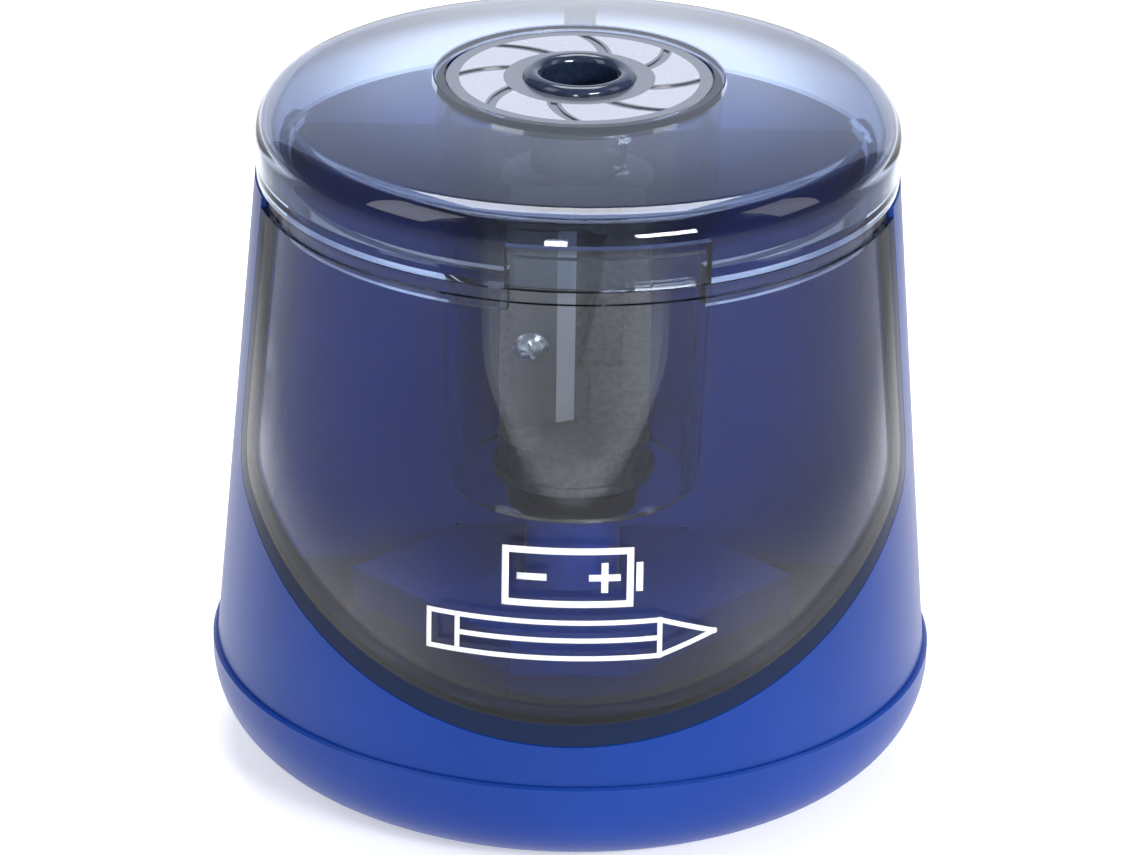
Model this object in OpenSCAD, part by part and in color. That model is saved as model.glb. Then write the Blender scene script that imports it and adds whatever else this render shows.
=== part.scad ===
// Round battery pencil sharpener with a clear lid, a clear front window and a motor-driven cutter.
// Millimetres. +Z is up, the front faces -Y, and the origin is on the axis at the feet's underside.

/* [Casing] */
// Outer radius of the body where it meets the base
seam_r = 39.55; // [39.2:0.05:40.5]
// Outer radius of the body at its upper rim
rim_r = 35.05; // [34.9:0.05:36]
// Height of the body between the seam and the rim
body_h = 54.7; // [54.5:0.1:58]
// Thickness of the moulded walls
wall = 2; // [1.8:0.1:2.1]
// Step by which the base stands out past the body
base_step = 0.55; // [0.4:0.05:0.7]
// Height of the base bowl
base_h = 11.6; // [11.4:0.1:12.2]
// Radius of the bowl's rounded edge
base_round = 10.1; // [9.9:0.1:10.2]
// Distance of the dividing wall's front face behind the axis
divider_y = 11.4; // [11.2:0.1:11.6]
// Thickness of the dividing wall
divider_t = 1.6; // [1.4:0.1:1.8]
// Height of the rubber feet below the base
foot_proud = 0.6; // [0.4:0.1:1]
// Radius of a rubber foot
foot_r = 3.5; // [2.5:0.1:3.5]

/* [Window] */
// Height of the window's lowest point above the seam
window_low = 4.4; // [3.5:0.1:6]
// Slope of the window's lower edge in degrees
window_slope = 32.5; // [30:0.5:34]
// Distance of the window's upright edges in front of the axis
window_side_y = 9; // [8:0.1:10]
// Radius of the window's lower corners
window_corner_r = 7; // [5:0.5:9]
// Thickness of the window
window_t = 2.3; // [2.2:0.05:2.4]
// Thickness of the window's rim, where it lies in the body's rebate
window_rim_t = 1.2; // [1:0.05:1.3]
// Width of the rebate's ledge behind the window's rim
ledge_w = 1.6; // [1.2:0.1:2]
// Width of the key tab on the window's rim
key_w = 20.2; // [16:0.1:22]
// Height of the key tab above the rim
key_h = 3.5; // [2.5:0.1:3.9]
// Angle of the key tab from the front, in degrees
key_angle = 5.7; // [0:0.1:8]

/* [Lid] */
// Gap between the body's rim and the lid's skirt
lid_gap = 0.3; // [0.2:0.05:0.5]
// Height of the dome's apex above the skirt's lower edge
lid_h = 11.6; // [11:0.05:13]
// Radius of the dome
dome_r = 160; // [150:1:170]
// Radius of the rounded shoulder between skirt and dome
shoulder_r = 4; // [3.5:0.1:4.4]
// Depth to which the lid's locating ring enters the body
spigot_h = 3.3; // [2:0.1:3.5]
// Radius of the disc insert in the lid
insert_r = 15.65; // [15.4:0.05:16]
// Outer radius of the guard tube at its lower end
tube_low_r = 14.1; // [13.6:0.1:14.6]
// Height of the guard tube's lower end above the seam
tube_low_h = 19.3; // [18:0.1:22]
// Wall of the guard tube
tube_t = 1.5; // [1.2:0.1:2]

/* [Cutter] */
// Radius of the pencil hole
pencil_r = 4.2; // [4:0.05:4.4]
// Radius of the cutter body
rotor_r = 8.35; // [8.2:0.05:8.6]
// Height of the cutter body
rotor_h = 33.8; // [33:0.1:34]
// Half of the angle of the sharpened point, in degrees
point_angle = 10.4; // [9.5:0.1:11]
// Length of the sharpened cone
point_len = 18; // [17.5:0.1:18.5]
// Radius of the cutter shaft
shaft_r = 1.5; // [1.4:0.05:1.6]
// Travel of the cutter when a pencil pushes it down
press_travel = 1.5; // [1:0.1:1.5]
// Thickness of the blade
blade_t = 0.8; // [0.6:0.1:1]

/* [Gears] */
// Module of the gears
gear_m = 0.5; // [0.49:0.01:0.51]
// Teeth of the motor pinion and of the idler's small step
pinion_teeth = 10; // [10:1:10]
// Teeth of the idler's large step
idler_teeth = 30; // [30:2:30]
// Teeth of the gear on the cutter shaft
output_teeth = 44; // [44:4:44]
// Half of the corner-to-corner size of the gear housing
housing_corner = 24.5; // [24:0.1:25]
// Height of the gear housing's top above the seam
housing_top = 7; // [7:0.1:7.5]
// Wall of the gear housing
housing_t = 1.8; // [1.6:0.1:1.8]
// Radius of the tower round the cutter shaft
tower_r = 5.3; // [5:0.1:5.5]
// Height of the tower above the gear housing
tower_h = 8.8; // [8.5:0.1:9]

/* [Drive and cells] */
// Width of the motor across its flats
motor_w = 15.1; // [14.9:0.1:15.3]
// Diameter of the motor across its round sides
motor_d = 20.1; // [19.8:0.1:20.3]
// Length of the motor's steel can
motor_len = 20.2; // [19:0.1:21]
// Length of the motor's plastic end cap
motor_cap_len = 4.8; // [4:0.1:5]
// Radius of a cell
cell_r = 7.25; // [7.1:0.05:7.25]
// Length of a cell with its button
cell_len = 50.5; // [49.5:0.1:50.5]

/* [Clearances] */
// Clearance between parts that are lifted or slid apart
slip = 0.3; // [0.25:0.05:0.35]
// Clearance round a part that is glued or clipped in place
seat = 0.15; // [0.1:0.01:0.2]
// Radial clearance of a running shaft
run = 0.06; // [0.03:0.01:0.1]
// Radial clearance of a pressed shaft or a screw
press = 0.02; // [0.01:0.01:0.03]

/* [Hidden] */

// Facets of large, middle and small round shapes
fine = 96;
mid = 48;
small = 24;
// Overlap that keeps a cut or a union clean
eps = 0.05;
// Size of a block that is larger than the whole object
far = 100;

// Colours
blue = [0.10, 0.19, 0.62];
smoke = [0.45, 0.50, 0.56, 0.45];
dark = [0.16, 0.16, 0.17];
steel = [0.72, 0.73, 0.75];
brass = [0.78, 0.62, 0.30];

// Levels of the casing
base_z = foot_proud;
floor_z = base_z + wall;
seam_z = base_z + base_h;
rim_z = seam_z + body_h;
lid_z = rim_z + lid_gap;
base_r = seam_r + base_step;
flat_r = base_r - base_round;
deck_z = rim_z - wall;
chamber_back_y = divider_y + divider_t;
// Easing of the bowl's upper edge
bowl_ease = 0.25;
// Locating lip of the body inside the base
lip_h = 2.5;
lip_t = 1.5;
lip_r = base_r - wall - 0.2;

// Window
window_back_z = seam_z + window_low + (seam_r - 0.35 - window_side_y) * tan(window_slope);
// Step round the window's upper rim
rim_step_h = 1.2;
rim_step_d = 0.5;
key_t = 0.9;
key_r = rim_r - 1.95;

// Lid
apex_z = lid_z + lid_h;
dome_cz = apex_z - dome_r;
shoulder_cr = rim_r - shoulder_r;
shoulder_cz = dome_cz + sqrt(pow(dome_r - shoulder_r, 2) - pow(shoulder_cr, 2));
shoulder_a = acos(shoulder_cr / (dome_r - shoulder_r));
lid_hole_r = insert_r + seat;
spigot_r = rim_r - window_t - slip;
spigot_t = 1.15;
ledge_h = 1.2;
insert_z = dome_cz + sqrt(dome_r * dome_r - lid_hole_r * lid_hole_r) - 0.1;
insert_t = 2.2;
disc_z = insert_z - insert_t;
tube_z = seam_z + tube_low_h;
badge_r = 14.4;
badge_t = 0.5;
badge_drop = 0.2;

// Cutter stack, from the tower upwards
housing_z = seam_z + housing_top;
tower_z = housing_z + tower_h;
bush_t = 1.7;
bush_h = 3.6;
bush_flange_t = 0.4;
bush_flange_r = 4.4;
cap_r = 7.2;
cap_skirt = tower_z + 0.5;
cap_ceiling = tower_z + bush_flange_t + press_travel + slip;
cap_top = cap_ceiling + 1;
collar_r = 6;
collar_h = 1.2;
rotor_z = cap_top + collar_h;
rotor_top = rotor_z + rotor_h;
rotor_flange_r = rotor_r + 0.55;
rotor_flange_h = 1;
rotor_plain_h = 4.6;
guide_len = 4;
cone_top_z = rotor_top - guide_len;
tip_r = pencil_r - point_len * tan(point_angle);
// The blade's face cuts this far into the cone, which opens the slot
slot_depth = 0.5;
blade_w = 6.6;
blade_over = 1;
blade_len = blade_over + (cone_top_z - rotor_z - rotor_plain_h) / cos(point_angle) - 2 * slip;
blade_bevel = 2;
edge_x = 0;
blade_screw_x = -4.8;
blade_screw_up = 15.1;
blade_screw_r = 1.95;
shaft_top = rotor_z + rotor_plain_h - slip;

// Sharpening mouth in the lid
sleeve_z = rotor_top + 1;
sleeve_t = 1;
mouth_r = 6.06;

// Safety switch
safety_y = rim_r - 7.05;
safety_pin_r = 1.5;
safety_stem_r = 1.1;
safety_travel = 1.5;
safety_top = lid_z + 0.9;
safety_flange_r = 2.6;
safety_flange_t = 1;
safety_flange_z = deck_z - safety_travel - slip - safety_flange_t - 0.7;
holder_z = safety_flange_z - 6.4;
holder_t = 1.4;
holder_half_x = 4.2;
holder_half_y = 3;
safety_tip = holder_z - 0.4;

// Leads, which run down just inside the body's back wall
lead_r = 0.6;
lead_x = 9.3;
lead_wall_r = cone_r(holder_z, wall + lead_r + 0.49);
lead_y = sqrt(lead_wall_r * lead_wall_r - lead_x * lead_x);

// Gear train
idler_y = gear_m * (output_teeth + pinion_teeth) / 2;
motor_y = idler_y + gear_m * (idler_teeth + pinion_teeth) / 2;
backlash = 0.12;
wheel_add = 0.7;
pinion_add = 0.9;
root_depth = 1.15;
pressure_angle = 20;
plate_z = floor_z + 0.6;
plate_t = 1.2;
plate_top = plate_z + plate_t;
ceiling_z = housing_z - housing_t;
idler_wheel_t = 1.8;
idler_wheel_z = ceiling_z - 0.5 - idler_wheel_t;
motor_pinion_z = idler_wheel_z - 0.5;
output_t = 4;
output_z = idler_wheel_z - 0.6 - output_t;
idler_low_z = output_z - press_travel - slip;
idler_pin_r = 1;
wheel_tip_r = gear_m * (idler_teeth / 2 + wheel_add);
output_tip_r = gear_m * (output_teeth / 2 + wheel_add);
idler_room_r = wheel_tip_r + slip;
idler_case_r = idler_room_r + 1.15;
neck_w = 10.8;
neck_wall = 1.4;
neck_end_y = lead_y - lead_r;
housing_nose_y = 18;

// Thrust cup, its spring and the start switch
cup_flange_t = 1;
cup_flange_z = output_z - slip - cup_flange_t;
cup_flange_r = 4.9;
cup_stem_r = 2.4;
cup_bore_z = cup_flange_z - 2.6;
bridge_t = 0.4;
bridge_z = cup_flange_z - bridge_t;
collar_guide_t = 1.2;
collar_guide_top = bridge_z - press_travel - slip;
spring_wire = 0.6;
spring_r = 4.4;
stem_z = plate_top + press_travel;
contact_x = 12;
contact_w = 3;
contact_top = bridge_z - press_travel - slip;
strip_t = 0.3;
strip_w = 1.2;
strip_x = 3.3;
strip_end_y = neck_end_y - 2.2;

// Screws
screw_r = 1.4;
screw_head_r = 2.9;
screw_head_h = 0.9;
screw_boss_r = 2.6;
screw_sink = 1.1;
housing_screw_x = 18.2;
rear_screw_x = 28.3;
rear_screw_y = chamber_back_y + 2.2;
rear_seat_z = seam_z - 6.2;
rear_column_r = screw_boss_r + 0.8;
small_screw_r = 0.95;
small_boss_r = 2.1;
small_boss_top = motor_pinion_z - 1.2;
small_head_r = 1.8;
small_head_h = 0.6;
front_small_y = housing_t + small_boss_r - 0.2 - housing_nose_y;
back_small_y = neck_end_y - neck_wall - small_head_r - seat;

// Motor and cells
motor_z = housing_z;
motor_boss_r = 3.07;
motor_boss_h = 1.5;
motor_shaft_r = 1;
motor_shaft_z = idler_low_z + 1.8;
motor_top = motor_z + motor_len + motor_cap_len;
cell_gap = 0.8;
cell_x = motor_w / 2 + cell_gap + cell_r;
cell_y = chamber_back_y + 0.1 + cell_r;
cell_button_r = 2.75;
cell_button_h = 1.2;
tab_t = 0.4;
tab_z = deck_z - 2.3 - tab_t;
cell_right_z = tab_z - slip - cell_len;
link_t = 0.3;
link_top = floor_z + link_t;
cell_left_z = link_top + slip;

// Battery cover and feet
cover_half_w = cell_x + cell_r + 0.75;
cover_y = chamber_back_y - 0.15;
foot_sink = 1;
foot_x = 17;
foot_front_y = -19;
foot_rear_x = 15;
foot_rear_y = 21.5;

// Outer radius of the body's cone at height z, less an inset
function cone_r(z, inset = 0) = seam_r + (rim_r - seam_r) * (z - seam_z) / body_h - inset;

// Outer radius of the bowl at height z
function bowl_r(z) = flat_r + sqrt(base_round * base_round - pow(base_z + base_round - z, 2));

// Points of an arc in a plane
function arc(c, r, a0, a1, n) =
    [for (i = [0:n]) c + r * [cos(a0 + (a1 - a0) * i / n), sin(a0 + (a1 - a0) * i / n)]];

// Height of the window's slanted edge at y
function window_edge_z(y) = window_back_z + (-window_side_y - y) * -tan(window_slope);

// Involute helpers: angle swept at radius r, and the tooth's half angle there
function inv_at(rb, r) = sqrt(max(0, pow(r / rb, 2) - 1)) * 180 / PI - acos(min(1, rb / r));
function half_tooth(n, r) =
    let (rp = gear_m * n / 2, rb = rp * cos(pressure_angle))
    90 / n - backlash / 2 / rp * 180 / PI + inv_at(rb, rp) - inv_at(rb, max(r, rb));

// Outline of a spur gear with a tooth centred on +X
function gear_points(n, add) =
    let (
        rp = gear_m * n / 2,
        rb = rp * cos(pressure_angle),
        root = rp - gear_m * root_depth,
        tip = rp + gear_m * add,
        first = max(root + 0.02, rb),
        flank = [for (k = [0:3]) first + (tip - first) * k / 3]
    )
    [for (t = [0:n - 1]) each concat(
        [root * [cos(t * 360 / n - half_tooth(n, rb)), sin(t * 360 / n - half_tooth(n, rb))]],
        [for (r = flank) r * [cos(t * 360 / n - half_tooth(n, r)), sin(t * 360 / n - half_tooth(n, r))]],
        [for (k = [3:-1:0]) let (r = flank[k])
            r * [cos(t * 360 / n + half_tooth(n, r)), sin(t * 360 / n + half_tooth(n, r))]],
        [root * [cos(t * 360 / n + half_tooth(n, rb)), sin(t * 360 / n + half_tooth(n, rb))]]
    )];

// Two triangles of a swept tube's skin between ring i and the next, at side k
function skin_pair(i, k, sides) =
    let (a = i * sides + k, b = i * sides + (k + 1) % sides)
    [[a, b, b + sides], [a, b + sides, a + sides]];

// ---------- shared shapes ----------

// Cylinder about the Z axis between two heights
module cylinder_from(z0, z1, r) {
    translate([0, 0, z0]) cylinder(h = z1 - z0, r = r, $fn = mid);
}

// Cylinder of many facets about the Z axis between two heights
module cylinder_from_fine(z0, z1, r) {
    translate([0, 0, z0]) cylinder(h = z1 - z0, r = r, $fn = fine);
}

module gear(n, add, h) {
    linear_extrude(h) polygon(gear_points(n, add));
}

// Ring of the body's cone between two insets and two heights
module cone_band(outer, inner, z0, z1) {
    rotate_extrude($fn = fine) polygon([
        [cone_r(z0, inner), z0],
        [cone_r(z0, outer), z0],
        [cone_r(z1, outer), z1],
        [cone_r(z1, inner), z1]
    ]);
}

// Solid cone with the body's slope between two heights, drawn in by an inset
module cone_solid(inset, z0, z1) {
    translate([0, 0, z0]) cylinder(h = z1 - z0, r1 = cone_r(z0, inset), r2 = cone_r(z1, inset), $fn = fine);
}

// Half section of the base bowl, drawn in by an inset, up to a height and with an eased edge
module bowl_section(inset, top_z, ease) {
    round_z = base_z + base_round;
    translate([0, base_z + inset]) square([flat_r, top_z - base_z - inset]);
    intersection() {
        translate([flat_r, round_z]) circle(base_round - inset, $fn = fine);
        translate([flat_r, base_z]) square([base_round, base_round]);
    }
    polygon([
        [flat_r, round_z],
        [base_r - inset, round_z],
        [base_r - inset, top_z - ease],
        [base_r - inset - ease, top_z],
        [flat_r, top_z]
    ]);
}

// The bowl as a solid
module bowl(inset, top_z) {
    rotate_extrude($fn = fine) bowl_section(inset, top_z, 0);
}

// The bowl as a shell
module bowl_shell(top_z) {
    rotate_extrude($fn = fine) difference() {
        bowl_section(0, top_z, bowl_ease);
        bowl_section(wall, seam_z + 10, 0);
    }
}

// Side view of the window's opening, grown by d, drawn across the whole width
module window_zone(d) {
    c = [
        -window_side_y - window_corner_r,
        window_edge_z(-window_side_y - window_corner_r) + window_corner_r / cos(window_slope)
    ];
    start_z = window_edge_z(-far / 2) - d / cos(window_slope);
    rotate([90, 0, 90]) linear_extrude(far, center = true) polygon(concat(
        [[-far / 2, start_z]],
        arc(c, window_corner_r + d, window_slope - 90, 0, 8),
        [[d - window_side_y, far], [-far / 2, far]]
    ));
}

// Wedge of the rim that holds the key tab, wider by a clearance on each side
module key_zone(extra, z0, z1) {
    rotate(key_angle) translate([-key_w / 2 - extra, -far / 2, z0])
        cube([key_w + 2 * extra, far / 2 - 20, z1 - z0]);
}

// Plan of the gear housing, drawn in by an inset
module housing_plan(inset) {
    intersection() {
        rotate(45) square((housing_corner - inset * sqrt(2)) * sqrt(2), center = true);
        translate([-far / 2, inset - housing_nose_y]) square([far, far]);
    }
}

// Plan of the idler and motor pinion chambers behind the housing
module neck_plan(case_r, half_w, end_y) {
    translate([0, idler_y]) circle(case_r, $fn = fine);
    translate([-half_w, idler_y]) square([2 * half_w, end_y - idler_y]);
}

// Screw that points up, with its head's underside at z = 0
module screw(head_r, head_h, shank_r, length) {
    difference() {
        union() {
            translate([0, 0, -head_h]) cylinder(h = head_h, r = head_r, $fn = mid);
            translate([0, 0, -eps]) cylinder(h = length + eps, r = shank_r, $fn = small);
        }
        for (a = [0, 90])
            rotate(a) translate([-head_r * 0.6, -head_r * 0.11, -head_h - eps])
                cube([head_r * 1.2, head_r * 0.22, head_h * 0.55 + eps]);
    }
}

// Coil spring of round wire standing on z = 0
module coil(r, wire_r, turns, h) {
    sides = 6;
    steps = 14;
    n = turns * steps;
    points = [for (i = [0:n], k = [0:sides - 1])
        let (a = 360 * i / steps, rr = r + wire_r * cos(360 * k / sides))
        [rr * cos(a), rr * sin(a), wire_r + (h - 2 * wire_r) * i / n + wire_r * sin(360 * k / sides)]];
    skin = [for (i = [0:n - 1], k = [0:sides - 1]) each skin_pair(i, k, sides)];
    polyhedron(
        points,
        concat([[for (k = [sides - 1:-1:0]) k]], skin, [[for (k = [0:sides - 1]) n * sides + k]]),
        convexity = turns + 1
    );
}

// Insulated lead through a list of points, as a tube with mitred corners
module lead(points) {
    sides = 8;
    last = len(points) - 1;
    function unit(v) = v / norm(v);
    rings = [for (i = [0:last])
        let (
            before = unit(points[max(i, 1)] - points[max(i, 1) - 1]),
            after = unit(points[min(i, last - 1) + 1] - points[min(i, last - 1)]),
            along = unit(before + after),
            u = unit(cross(along, [1, 0, 0])),
            v = cross(along, u)
        )
        for (k = [0:sides - 1])
            points[i] + lead_r * (cos(360 * k / sides) * u + sin(360 * k / sides) * v)];
    polyhedron(rings, concat(
        [[for (k = [sides - 1:-1:0]) k]],
        [for (i = [0:last - 1], k = [0:sides - 1]) each skin_pair(i, k, sides)],
        [[for (k = [0:sides - 1]) last * sides + k]]
    ));
}

// Places its child at both housing screws and both rear screws
module at_base_screws() {
    for (s = [-1, 1]) {
        translate([s * housing_screw_x, 0, 0]) children();
        translate([s * rear_screw_x, rear_screw_y, 0]) children();
    }
}

module at_gearbox_screws() {
    for (y = [front_small_y, back_small_y])
        translate([0, y, 0]) children();
}

// Shell of the battery cover's share of the bowl, wider by a clearance
module cover_zone(extra) {
    translate([-cover_half_w - extra, cover_y - extra, -1]) cube([2 * (cover_half_w + extra), far, seam_z + 2]);
}

// ---------- casing ----------

module base_shell() {
    color(blue) {
        difference() {
            union() {
                bowl_shell(seam_z);
                for (s = [-1, 1])
                    translate([s * rear_screw_x, rear_screw_y, 0])
                        cylinder_from(floor_z - 0.2, rear_seat_z, rear_column_r);
                for (p = [[-9, -7], [9, -7], [0, 8.5]])
                    translate([p[0], p[1], floor_z - eps])
                        cylinder(h = plate_z - floor_z + eps, r = 2.5, $fn = mid);
            }
            cover_zone(0.25);
            at_base_screws() {
                translate([0, 0, -eps]) cylinder(h = far / 4, r = screw_r + slip, $fn = mid);
                translate([0, 0, -eps])
                    cylinder(h = base_z + screw_sink + eps, r = screw_head_r + slip, $fn = mid);
            }
            for (s = [-1, 1])
                translate([s * foot_x, foot_front_y, -eps])
                    cylinder(h = base_z + foot_sink + eps, r = foot_r + 0.1, $fn = mid);
        }
    }
}

module rubber_feet() {
    color(dark) for (s = [-1, 1])
        translate([s * foot_x, foot_front_y, 0]) cylinder(h = base_z + foot_sink, r = foot_r, $fn = mid);
}

module base_screws() {
    color(steel) {
        for (s = [-1, 1]) {
            translate([s * housing_screw_x, 0, base_z + screw_sink])
                screw(screw_head_r, screw_head_h, screw_r, 11);
            translate([s * rear_screw_x, rear_screw_y, base_z + screw_sink])
                screw(screw_head_r, screw_head_h, screw_r, 16);
        }
    }
}

module body_shell() {
    color(blue) {
        difference() {
            union() {
                rotate_extrude($fn = fine) polygon([
                    [lip_r, seam_z],
                    [seam_r, seam_z],
                    [rim_r, rim_z],
                    [rim_r - wall, rim_z],
                    [cone_r(seam_z + 2, wall), seam_z + 2],
                    [lip_r - lip_t, seam_z],
                    [lip_r - lip_t, seam_z - lip_h],
                    [lip_r, seam_z - lip_h]
                ]);
                // Dividing wall and the deck behind it
                intersection() {
                    cone_solid(wall / 2, seam_z, rim_z);
                    union() {
                        translate([-far / 2, divider_y, 0]) cube([far, divider_t, far]);
                        translate([-far / 2, divider_y, deck_z]) cube([far, far, wall]);
                    }
                }
                body_core();
            }
            // Window opening, with a rebate for the window's rim
            window_zone(-ledge_w);
            difference() {
                window_zone(0);
                cone_solid(window_rim_t + seat, seam_z, rim_z + 1);
            }
            // The locating lip stops at the sliding cover
            translate([-cover_half_w - slip, chamber_back_y, 0])
                cube([2 * (cover_half_w + slip), far, seam_z]);
            // Clearance over the gear housing
            translate([-housing_corner + divider_y - slip, divider_y - 1, 0])
                cube([2 * (housing_corner - divider_y + slip), divider_t + 2, housing_z + 0.2]);
            for (s = [-1, 1])
                translate([s * rear_screw_x, rear_screw_y, 0])
                    cylinder(h = base_z + screw_sink + 18, r = screw_r + press, $fn = mid);
            translate([0, safety_y, deck_z - eps])
                cylinder(h = wall + 2 * eps, r = safety_pin_r + 0.1, $fn = mid);
        }
    }
}

// Inner parts of the body: the wall's middle, its foot in the base, bosses and ribs
module body_core() {
    difference() {
        intersection() {
            bowl(wall + slip, seam_z + 1);
            translate([-far / 2, divider_y, floor_z + slip]) cube([far, divider_t, base_h]);
        }
        for (x = [-rear_screw_x, rear_screw_x])
            translate([x - rear_column_r - seat, 0, 0])
                cube([2 * (rear_column_r + seat), far / 4, rear_seat_z]);
    }
    for (s = [-1, 1]) {
        translate([s * rear_screw_x, rear_screw_y, rear_seat_z])
            cylinder(h = 26 - rear_seat_z, r = screw_boss_r, $fn = mid);
        translate([s * cell_x, cell_y, tab_z + tab_t])
            cylinder(h = deck_z - tab_z - tab_t + eps, r = 4.5, $fn = mid);
    }
    // Rib that steadies the motor's back
    intersection() {
        cone_solid(wall / 2, motor_z + 3, motor_top);
        translate([-1.5, motor_y + motor_d / 2 + slip, motor_z + 3]) cube([3, far / 4, motor_len - 3]);
    }
}

module window() {
    color(smoke) {
        difference() {
            union() {
                intersection() {
                    cone_band(0, window_rim_t, seam_z, rim_z);
                    window_zone(-seat);
                }
                intersection() {
                    cone_band(0, window_t, seam_z, rim_z);
                    window_zone(-ledge_w - seat);
                }
            }
            difference() {
                translate([0, 0, rim_z - rim_step_h]) cylinder(h = 1 + rim_step_h, r = far, $fn = small);
                cone_solid(rim_step_d, rim_z - rim_step_h, rim_z + 1);
            }
        }
        // Key tab for the lid
        intersection() {
            key_zone(0, rim_z - rim_step_h, rim_z + key_h);
            rotate_extrude($fn = fine) translate([key_r, rim_z - rim_step_h])
                square([key_t, rim_step_h + key_h]);
        }
    }
}

module battery_cover() {
    grip_w = 16;
    color(blue) {
        difference() {
            intersection() {
                bowl_shell(seam_z - slip);
                cover_zone(0);
            }
            for (s = [-1, 1])
                translate([s * foot_rear_x, foot_rear_y, -eps])
                    cylinder(h = base_z + foot_sink + eps, r = foot_r + 0.1, $fn = mid);
            // Grip grooves for the thumb
            intersection() {
                for (z = [4.6:1.6:9.4])
                    rotate_extrude($fn = fine) translate([bowl_r(base_z + z) - 0.5, base_z + z])
                        square([base_round, 0.7]);
                translate([-grip_w / 2, 0, 0]) cube([grip_w, far, far]);
            }
        }
    }
}

module cover_feet() {
    color(dark) for (s = [-1, 1])
        translate([s * foot_rear_x, foot_rear_y, 0])
            cylinder(h = base_z + foot_sink, r = foot_r, $fn = mid);
}

// ---------- cells and their contacts ----------

// Strip that joins the two cells at the bottom
module cover_contact() {
    color(steel) intersection() {
        cylinder_from_fine(0, far, flat_r);
        union() {
            translate([-cell_x - 3, cell_y - 2.5, floor_z]) cube([2 * cell_x + 6, 5, link_t]);
            for (x = [-cell_x, cell_x])
                translate([x, cell_y, floor_z]) cylinder(h = link_t, r = 5.2, $fn = mid);
        }
    }
}

module cover_spring() {
    color(steel) translate([cell_x, cell_y, link_top])
        coil(4, 0.4, 5, cell_right_z - link_top - slip);
}

// Cell standing on z = 0 with its button up
module cell() {
    body_len = cell_len - cell_button_h;
    cylinder(h = body_len, r = cell_r, $fn = fine);
    translate([0, 0, body_len - eps]) cylinder(h = cell_button_h + eps, r = cell_button_r, $fn = mid);
}

module cell_left() {
    color([0.35, 0.36, 0.38]) translate([-cell_x, cell_y, cell_left_z + cell_len])
        rotate([180, 0, 0]) cell();
}

module cell_right() {
    color([0.35, 0.36, 0.38]) translate([cell_x, cell_y, cell_right_z]) cell();
}

module cell_contacts() {
    color(steel) intersection() {
        cone_solid(wall + seat, seam_z, rim_z);
        for (s = [-1, 1]) {
            translate([s * cell_x, cell_y, tab_z + tab_t / 2]) cube([10, 10, tab_t], center = true);
            translate([s * (cell_x - 7), cell_y, tab_z + tab_t / 2]) cube([5, 2.4, tab_t], center = true);
        }
    }
}

module cell_spring() {
    z = cell_left_z + cell_len + slip;
    color(steel) translate([-cell_x, cell_y, z]) coil(4, 0.4, 5, tab_z - z);
}

// ---------- gearbox ----------

module gear_housing() {
    color(blue) {
        difference() {
            union() {
                translate([0, 0, floor_z]) linear_extrude(housing_z - floor_z)
                    intersection() {
                        housing_plan(0);
                        translate([-far / 2, -far / 2]) square([far, far / 2 + cover_y - slip]);
                    }
                translate([0, 0, plate_z]) linear_extrude(housing_z - plate_z) {
                    housing_plan(0);
                    neck_plan(idler_case_r, neck_w / 2, neck_end_y);
                }
                translate([0, 0, housing_z - eps]) cylinder(h = tower_h + eps, r = tower_r, $fn = fine);
            }
            difference() {
                translate([0, 0, -eps]) linear_extrude(ceiling_z + eps) {
                    housing_plan(housing_t);
                    neck_plan(idler_room_r, neck_w / 2 - neck_wall, neck_end_y - neck_wall);
                }
                for (s = [-1, 1])
                    translate([s * housing_screw_x, 0, plate_z])
                        cylinder(h = far, r = screw_boss_r, $fn = mid);
                at_gearbox_screws() cylinder_from(plate_top, small_boss_top, small_boss_r);
            }
            cylinder(h = far, r = shaft_r + 0.7, $fn = mid);
            translate([0, 0, tower_z - bush_h]) cylinder(h = far, r = shaft_r + bush_t + press, $fn = mid);
            translate([0, idler_y, 0]) cylinder(h = far, r = idler_pin_r + press, $fn = mid);
            translate([0, motor_y, 0]) cylinder(h = far, r = motor_boss_r + 0.1, $fn = mid);
            for (s = [-1, 1]) {
                translate([s * housing_screw_x, 0, 0])
                    cylinder(h = base_z + screw_sink + 12, r = screw_r + press, $fn = mid);
                // Notch for a lead
                translate([s * strip_x - 1, neck_end_y - neck_wall - 1, 0]) cube([2, 3, plate_top + 2.4]);
            }
            at_gearbox_screws() cylinder(h = plate_top + 8, r = small_screw_r + press, $fn = mid);
        }
    }
}

module gearbox_plate() {
    color(dark) {
        difference() {
            union() {
                translate([0, 0, plate_z]) linear_extrude(plate_t) {
                    intersection() {
                        housing_plan(housing_t + seat);
                        square([2 * housing_screw_x, far], center = true);
                    }
                    neck_plan(idler_room_r - seat, neck_w / 2 - neck_wall - seat, neck_end_y - neck_wall - seat);
                }
                cylinder_from(plate_z, collar_guide_top, cup_stem_r + 0.1 + collar_guide_t);
                translate([0, idler_y, 0]) cylinder_from(plate_z, idler_low_z - slip, idler_pin_r + 1.2);
            }
            cylinder_from(plate_z + 0.5, far, cup_stem_r + 0.1);
            translate([0, idler_y, 0]) cylinder_from(0, far, idler_pin_r + press);
            for (s = [-1, 1])
                translate([s * housing_screw_x, 0, 0]) cylinder_from(0, far, screw_boss_r + seat);
            at_gearbox_screws() {
                cylinder_from(0, far, small_screw_r + seat);
                cylinder_from(0, plate_z + small_head_h + 0.05, small_head_r + seat);
            }
        }
    }
}

module gearbox_screws() {
    color(steel) at_gearbox_screws() translate([0, 0, plate_z + small_head_h + 0.05])
        screw(small_head_r, small_head_h, small_screw_r, 6.5);
}

module idler_pin() {
    color(steel) translate([0, idler_y, 0]) cylinder_from(plate_z + 0.1, housing_z - 0.3, idler_pin_r);
}

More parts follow.
